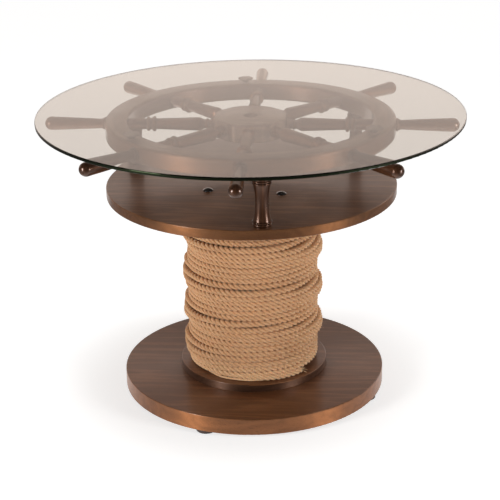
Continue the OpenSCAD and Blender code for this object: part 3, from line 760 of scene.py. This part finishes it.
def bent_tube(path, half_wide, half_high, sides=9):
    """Mesh and maps of a closed tube along path; half_wide lies level, half_high upright."""
    count = len(path)
    along = np.gradient(path, axis=0)
    along /= column(np.linalg.norm(along, axis=1))
    level = np.cross(along, (0.0, 0.0, 1.0))
    level /= column(np.linalg.norm(level, axis=1))
    rising = np.cross(level, along)
    turn = np.arange(sides) * 2.0 * math.pi / sides
    ring = half_wide[:, None, None] * np.cos(turn)[None, :, None] * level[:, None, :]
    ring = ring + half_high[:, None, None] * np.sin(turn)[None, :, None] * rising[:, None, :]
    verts = (path[:, None, :] + ring).reshape(-1, 3)
    i, j, faces = quads_of(count, sides)
    length = np.concatenate([[0.0], np.cumsum(np.linalg.norm(np.diff(path, axis=0), axis=1))])
    start, end = length[i], length[i + 1]
    low, high = j * TUBE_ROUND / sides, (j + 1) * TUBE_ROUND / sides
    fibre = corner_map([start, end, end, start], [low, low, high, high]).tolist()
    for at, sign in ((0, -1.0), (count - 1, 1.0)):
        verts = np.vstack([verts, path[at] + sign * along[at] * half_high[at] * 0.5])
        faces += fan(at * sides, sides, len(verts) - 1, sign > 0.0)
        for k in range(sides):
            fibre += [[length[at], TUBE_CAP_STEP * k]] * 3
    strand = [[u, 0.5] for u, _ in fibre]
    return verts, faces, {"fibre": np.array(fibre), "strand": np.array(strand)}


def joined(parts):
    """One mesh from several."""
    faces, start = [], 0
    for verts, some, _ in parts:
        faces += [[start + v for v in face] for face in some]
        start += len(verts)
    maps = {layer: np.vstack([part[2][layer] for part in parts]) for layer in ("fibre", "strand")}
    return np.vstack([part[0] for part in parts]), faces, maps


def add_piece(name, verts, faces, material, uvs=None):
    """A smooth mesh piece that rides on the table."""
    mesh = bpy.data.meshes.new(name)
    mesh.from_pydata(verts.tolist(), [], faces)
    mesh.validate()
    for layer, values in (uvs or {}).items():
        mesh.uv_layers.new(name=layer).data.foreach_set("uv", values.astype(np.float32).ravel())
    mesh.shade_smooth()
    mesh.materials.append(material)
    piece = bpy.data.objects.new(name, mesh)
    bpy.context.scene.collection.objects.link(piece)
    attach(piece, "table")
    return piece


# The rope's pieces


def wind_rope(rng):
    """The turns round the drum, which bulge over the cord and part at its groove."""
    turns = (DRUM_HIGH - DRUM_LOW - PITCH - TOP_GAP - FOOT_GAP) / PITCH
    centre = DRUM_R + ROPE_OUT - ROPE_R
    count = int(turns * 2.0 * math.pi * centre / RING_STEP)
    azimuth = ROPE_START + np.linspace(0.0, 360.0 * turns, count)
    height = DRUM_LOW + PITCH / 2.0 + FOOT_GAP + PITCH * (azimuth - ROPE_START) / 360.0
    raised, over = bulge_at(azimuth, height)
    bulge = BULGE * softened(raised)
    down = PART_DOWN * (1.0 - smooth(-over, 0.0, PART_DOWN_REACH))
    up = PART_UP * (1.0 - smooth(over, 0.0, PART_UP_REACH))
    sag = softened(np.where(over < 0.0, down, -up))
    from_front = np.abs(np.mod(azimuth - FRONT + 180.0, 360.0) - 180.0)
    sag *= FRONT_PART + (1.0 - FRONT_PART) * smooth(from_front, *FRONT_REACH)
    reach = centre + bulge + wobble(rng, count, *REACH_WOBBLE)
    height = height - sag + wobble(rng, count, *HEIGHT_WOBBLE)
    height = np.clip(height, DRUM_LOW + ROPE_R + END_FIT, DRUM_HIGH - ROPE_R - END_FIT)
    size = ROPE_R * (1.0 + wobble(rng, count, *SIZE_WOBBLE))
    size[:END_RINGS] *= np.linspace(END_TAPER, 1.0, END_RINGS)
    size[-END_RINGS:] *= np.linspace(1.0, END_TAPER, END_RINGS)
    length = arc_length(azimuth, reach, reach)
    phase = -2.0 * math.pi * length / LAY + wobble(rng, count, *TWIST_WOBBLE)
    rings = Rings(azimuth, reach, height, length, size)
    verts, faces, maps = laid_rope(rings, DRUM_R + ROPE_FIT + bulge, phase)
    rope = add_piece("rope_turns", verts, faces, jute_wound, maps)
    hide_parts("rope_winding")
    return rings


def lay_cord():
    """The slanting cord under the turns."""
    azimuth = np.arange(ROUTE[0, 0] + CORD_INSIDE, ROUTE[-1, 0] - CORD_INSIDE, CORD_STEP)
    height = route_height(azimuth) - CORD_BELOW
    reach = np.full_like(azimuth, DRUM_R + CORD_R + CORD_FIT)
    length = arc_length(azimuth, reach, height)
    size = np.full_like(azimuth, CORD_R)
    rings = Rings(azimuth, reach, height, length, size)
    verts, faces, maps = laid_rope(rings, reach - size, -2.0 * math.pi * length / CORD_LAY, per_strand=6)
    under = add_piece("rope_under_turns", verts, faces, jute_wound, maps)
    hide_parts("rope_undercord")


# The loose end at the foot of the winding
TAIL_START = -112.0
TAIL_END = -41.0
TAIL_STEP = 1.1
TAIL_R = 0.00545
# How far its middle stands out from the drum at first and at last, and where that is reached
TAIL_OUT = (0.0070, 0.0165)
TAIL_OUT_BY = -66.0
# Its height over the flange at first and at last, and between which directions it sinks
TAIL_UP = (0.0078, 0.0056)
TAIL_SINKS = (-100.0, -60.0)
# Over its last degrees it gets thinner by this share
TAIL_THIN_LAST = 5.0
TAIL_THIN = 0.12

# The flattened stray strand under it
STRAY_START = -132.0
STRAY_END = -63.0
STRAY_STEP = 1.5
# How far it stands out from the drum at first and at last, and where that is reached
STRAY_OUT = (0.0080, 0.0142)
STRAY_OUT_BY = -112.0
# Its height over the flange and how uneven that is
STRAY_UP = 0.0021
STRAY_WOBBLE = (6, 0.0002)
# Half its width and half its height, and how much it gets thinner from which direction on
STRAY_HALF = (0.0026, 0.0019)
STRAY_THIN_FROM = -70.0
STRAY_THIN = 0.7

# The frayed yarns of both, each with the direction, the distance from the drum and the height over
# the flange of its root and of its tip
YARNS = [
    ((TAIL_END, 0.0185, 0.0070), (TAIL_END + 5.6, 0.0195, 0.0012)),
    ((TAIL_END, 0.0155, 0.0085), (TAIL_END + 5.0, 0.0230, 0.0030)),
    ((TAIL_END, 0.0195, 0.0050), (TAIL_END + 1.8, 0.0270, 0.0010)),
    ((TAIL_END, 0.0145, 0.0045), (TAIL_END + 6.2, 0.0160, 0.0015)),
    ((TAIL_END, 0.0170, 0.0035), (TAIL_END + 3.4, 0.0235, 0.0008)),
    ((TAIL_END, 0.0130, 0.0070), (TAIL_END + 4.4, 0.0175, 0.0065)),
    ((-65.0, 0.0145, 0.0022), (-60.6, 0.0180, 0.0008)),
    ((-65.0, 0.0135, 0.0028), (-59.4, 0.0160, 0.0010)),
    ((-66.0, 0.0153, 0.0016), (-61.8, 0.0197, 0.0007)),
]
YARN_RINGS = 7
# Radius at the root, and how much thinner the tip is
YARN_R = 0.00062
YARN_THIN = 0.55
# How far inside the cut end it starts, in degrees
YARN_INSIDE = 1.2
# Mean and spread of how far it bows up
YARN_BOW = (0.0006, 0.0005)


def tail_end():
    """The end of the rope, which swings out from the drum."""
    azimuth = np.arange(TAIL_START, TAIL_END + 0.01, TAIL_STEP)
    near, far = TAIL_OUT
    high, low = TAIL_UP
    reach = DRUM_R + near + (far - near) * smooth(azimuth, TAIL_START, TAIL_OUT_BY)
    height = DRUM_LOW + high + (low - high) * smooth(azimuth, *TAIL_SINKS)
    length = arc_length(azimuth, reach, reach)
    size = TAIL_R * (1.0 - TAIL_THIN * smooth(azimuth, TAIL_END - TAIL_THIN_LAST, TAIL_END))
    rings = Rings(azimuth, reach, height, length, size)
    return laid_rope(rings, reach - size, -2.0 * math.pi * length / LAY)


def stray_strand(rng):
    """A flattened strand on the flange, under the rope's end."""
    azimuth = np.arange(STRAY_START, STRAY_END, STRAY_STEP)
    near, far = STRAY_OUT
    reach = DRUM_R + near + (far - near) * smooth(azimuth, STRAY_START, STRAY_OUT_BY)
    height = DRUM_LOW + STRAY_UP + wobble(rng, len(azimuth), *STRAY_WOBBLE)
    path = polar(azimuth, reach, height)
    taper = 1.0 - STRAY_THIN * smooth(azimuth, STRAY_THIN_FROM, STRAY_END)
    half_wide, half_high = STRAY_HALF
    return bent_tube(path, half_wide * taper, half_high * taper)


def frayed_yarn(rng, root, tip):
    """A bent yarn that gets thinner from root to tip."""
    t = np.linspace(0.0, 1.0, YARN_RINGS)
    bow = np.abs(np.sin(math.pi * t) * rng.normal(*YARN_BOW))
    azimuth = root[0] - YARN_INSIDE + (tip[0] - root[0] + YARN_INSIDE) * t
    reach = DRUM_R + root[1] + (tip[1] - root[1]) * t ** 1.4
    height = DRUM_LOW + root[2] + (tip[2] - root[2]) * t ** 1.3 + bow
    half = YARN_R * (1.0 - YARN_THIN * t)
    return bent_tube(polar(azimuth, reach, height), half, half, sides=6)


def loose_end(rng):
    """The rope's cut end, the strand under it and their frayed yarns, as one piece."""
    parts = [tail_end(), stray_strand(rng)]
    parts += [frayed_yarn(rng, root, tip) for root, tip in YARNS]
    verts, faces, maps = joined(parts)
    add_piece("rope_loose_end", verts, faces, jute_wound, maps)


# Hairs that stand off the turns
HAIRS = 1500
HAIR_RINGS = 4
# How many rings at each end of the winding have none
HAIR_FREE = 20
# Radius at the root, and how much thinner the tip is
HAIR_R = 0.000085
HAIR_THIN = 0.7
# Distance of the root from the rope's middle, as a share of the rope's radius, and how far above
# or below straight out it may lie, in radians
HAIR_ROOT = 0.86
HAIR_SIDE = 1.15
# Ranges of a hair's length, of how far its tip droops, as a share of that, and of how much it
# points straight off the rope
HAIR_LENGTH = (0.003, 0.0085)
HAIR_DROOP = (0.05, 0.35)
HAIR_OFF = (0.25, 0.7)
# Mean and spread of how much it points along the rope, and up or down
HAIR_ALONG = (0.0, 0.8)
HAIR_UP = (0.0, 0.35)


def unit(vectors, least=0.0):
    """The vectors with a length of one; least keeps a vector without length from dividing by zero."""
    return vectors / (column(np.linalg.norm(vectors, axis=1)) + least)


def hairs(rng, rope):
    """Thin bent hairs all over the turns, as one piece."""
    ring = rng.integers(HAIR_FREE, len(rope.azimuth) - HAIR_FREE, HAIRS)
    lean = rng.uniform(-HAIR_SIDE, HAIR_SIDE, HAIRS)
    azimuth = rope.azimuth[ring]
    outward = polar(azimuth, 1.0, np.zeros(HAIRS))
    along = np.stack([-outward[:, 1], outward[:, 0], np.zeros(HAIRS)], axis=-1)
    upward = np.tile((0.0, 0.0, 1.0), (HAIRS, 1))
    normal = outward * column(np.cos(lean)) + upward * column(np.sin(lean))
    middle = polar(azimuth, rope.reach[ring], rope.height[ring])
    root = middle + normal * column(rope.size[ring] * HAIR_ROOT)
    aim = normal * column(rng.uniform(*HAIR_OFF, HAIRS))
    aim = aim + along * column(rng.normal(*HAIR_ALONG, HAIRS))
    aim = unit(aim + upward * column(rng.normal(*HAIR_UP, HAIRS)))
    length = rng.uniform(*HAIR_LENGTH, HAIRS)
    droop = rng.uniform(*HAIR_DROOP, HAIRS)
    side = unit(np.cross(aim, normal), least=1e-9)
    lift = np.cross(side, aim)
    rows = []
    for t in np.linspace(0.0, 1.0, HAIR_RINGS):
        middle = root + aim * column(length * t) - upward * column(length * droop * t * t)
        thin = HAIR_R * (1.0 - HAIR_THIN * t)
        for turn in np.radians((0.0, 120.0, 240.0)):
            rows.append(middle + thin * (math.cos(turn) * side + math.sin(turn) * lift))
    verts = np.stack(rows, axis=1).reshape(-1, 3)
    first = column(np.arange(HAIRS)) * (3 * HAIR_RINGS)
    quads = []
    for k in range(0, 3 * (HAIR_RINGS - 1), 3):
        for corner, after in ((0, 1), (1, 2), (2, 0)):
            quads.append(first + np.array([k + corner, k + after, k + 3 + after, k + 3 + corner]))
    tips = first + 3 * (HAIR_RINGS - 1) + np.array([0, 1, 2])
    roots = first + np.array([2, 1, 0])
    faces = np.concatenate(quads).tolist() + tips.tolist() + roots.tolist()
    add_piece("rope_fuzz", verts, faces, jute_loose)


rng = np.random.default_rng(11)
rope_rings = wind_rope(rng)
lay_cord()
loose_end(rng)
hairs(rng, rope_rings)


# Camera, fitted to the ellipses of the glass, the shelf and the base in the photo

EYE = (0.1850, -2.6456, 1.2944)
# Directions of the picture's right side, of its lower side and of its depth
RIGHT = (0.997716, 0.065902, -0.014802)
DOWN = (0.009878, -0.359161, -0.933223)
AHEAD = (-0.066818, 0.930946, -0.358992)
# In millimetres
LENS = 105.81
SENSOR = 36.0


def photo_camera():
    data = bpy.data.cameras.new("camera")
    data.lens = LENS
    data.sensor_width = SENSOR
    camera = bpy.data.objects.new("camera", data)
    rows = [(right, -down, -ahead, eye) for right, down, ahead, eye in zip(RIGHT, DOWN, AHEAD, EYE)]
    camera.matrix_world = Matrix(rows + [(0.0, 0.0, 0.0, 1.0)])
    bpy.context.scene.collection.objects.link(camera)
    bpy.context.scene.camera = camera


photo_camera()


# Floor

# Half its side
FLOOR_HALF = 30.0
FLOOR_TONES = ((0.66, 0.66, 0.655), (0.70, 0.70, 0.695))
GLOW_TINT = (0.98, 1.0, 1.01)
# The floor glows between two lines that open away from the photo's camera: how far each is from
# x = 0 at y = 0, and how much further for each metre of y
LEFT_LINE = (0.52, 0.257)
RIGHT_LINE = (0.50, 0.109)
# Width of the glow's soft border along these lines, and between which y it begins
GLOW_SOFT = 0.3
GLOW_BEGIN = (-1.1, -0.55)
# Strength of the glow close to the table's axis and far from it, and where it changes; the weaker glow close
# to the table is a painted shadow
GLOW = (0.57, 0.85)
GLOW_REACH = (0.26, 0.50)
# What is added close to the axis, at the left and at the right, and where that changes: a little painted
# shade on the left, painted light on the right
GLOW_TILT = (-0.01, 0.09)
GLOW_SIDES = (-0.5, 0.5)


def floor_material():
    """Pale floor that glows where the photo's camera sees it."""
    s = Shader("studio_floor")
    place = s.place()
    x, y, _ = s.split(place)
    tone = s.mix(s.noise(place, scale=1.5, detail=2.0, rough=0.5), *FLOOR_TONES)
    from_left = s.plus(x, s.times(y, LEFT_LINE[1], plus=LEFT_LINE[0]))
    from_right = s.minus(s.times(y, RIGHT_LINE[1], plus=RIGHT_LINE[0]), x)
    lit = s.times(s.step(from_left, -GLOW_SOFT, 0.0), s.step(from_right, -GLOW_SOFT, 0.0))
    lit = s.times(lit, s.step(y, *GLOW_BEGIN))
    # Painted shadow: the glow is weaker close to the table, and lighter on its right side than on its left
    far = s.step(s.reach(x, y), *GLOW_REACH)
    tilt = s.times(s.minus(1.0, far), s.span(s.step(x, *GLOW_SIDES), *GLOW_TILT))
    glow = s.times(lit, s.plus(s.span(far, *GLOW), tilt))
    looks = {"Specular_IOR_Level": 0.1, "Emission_Color": rgba(GLOW_TINT), "Emission_Strength": glow}
    return s.finish(s.principled(tone, 0.85, **looks))


floor_mesh = bpy.data.meshes.new("floor")
floor_corners = [(FLOOR_HALF * x, FLOOR_HALF * y, 0.0) for x, y in ((-1, -1), (1, -1), (1, 1), (-1, 1))]
floor_mesh.from_pydata(floor_corners, [], [(0, 1, 2, 3)])
floor_mesh.materials.append(floor_material())
floor = bpy.data.objects.new("floor", floor_mesh)
bpy.context.scene.collection.objects.link(floor)


# Lights

# What the softboxes face, and their size
LIT_POINT = (0.0, 0.0, 0.35)
SOFTBOX_WIDE = 0.70
SOFTBOX_HIGH = 0.95
# Colour of the light from all round
WORLD_TINT = (0.93, 0.79, 0.71)


def softbox(name, place, radiance):
    """A rectangular area light that faces LIT_POINT."""
    data = bpy.data.lights.new(name, "AREA")
    data.shape = "RECTANGLE"
    data.size, data.size_y = SOFTBOX_WIDE, SOFTBOX_HIGH
    data.energy = radiance * math.pi * SOFTBOX_WIDE * SOFTBOX_HIGH
    lamp = bpy.data.objects.new(name, data)
    lamp.location = place
    lamp.visible_camera = False
    lamp.rotation_euler = (Vector(LIT_POINT) - Vector(place)).to_track_quat("-Z", "Y").to_euler()
    bpy.context.scene.collection.objects.link(lamp)


softbox("softbox_left", (-1.93, -1.74, 0.86), radiance=20.0)
softbox("softbox_right", (2.32, -1.18, 0.75), radiance=15.8)


def studio_world():
    """Warm light from all round: brighter behind the table and low down, weaker overhead."""
    s = Shader("studio", world=True)
    _, y, z = s.split(s.add("TexCoord").outputs["Generated"])
    behind = s.step(y, -0.10, 0.75, before=0.12, after=1.0)
    overhead = s.step(z, 0.10, 0.85, before=1.0, after=0.35)
    low = s.step(z, 0.20, 0.33, before=1.32, after=1.0)
    strength = s.times(s.times(behind, overhead), low)
    return s.finish(s.add("Background", {"Color": rgba(WORLD_TINT), "Strength": strength}))


bpy.context.scene.world = studio_world()
bpy.context.scene.view_settings.view_transform = "Standard"
bpy.context.scene.view_settings.look = "None"
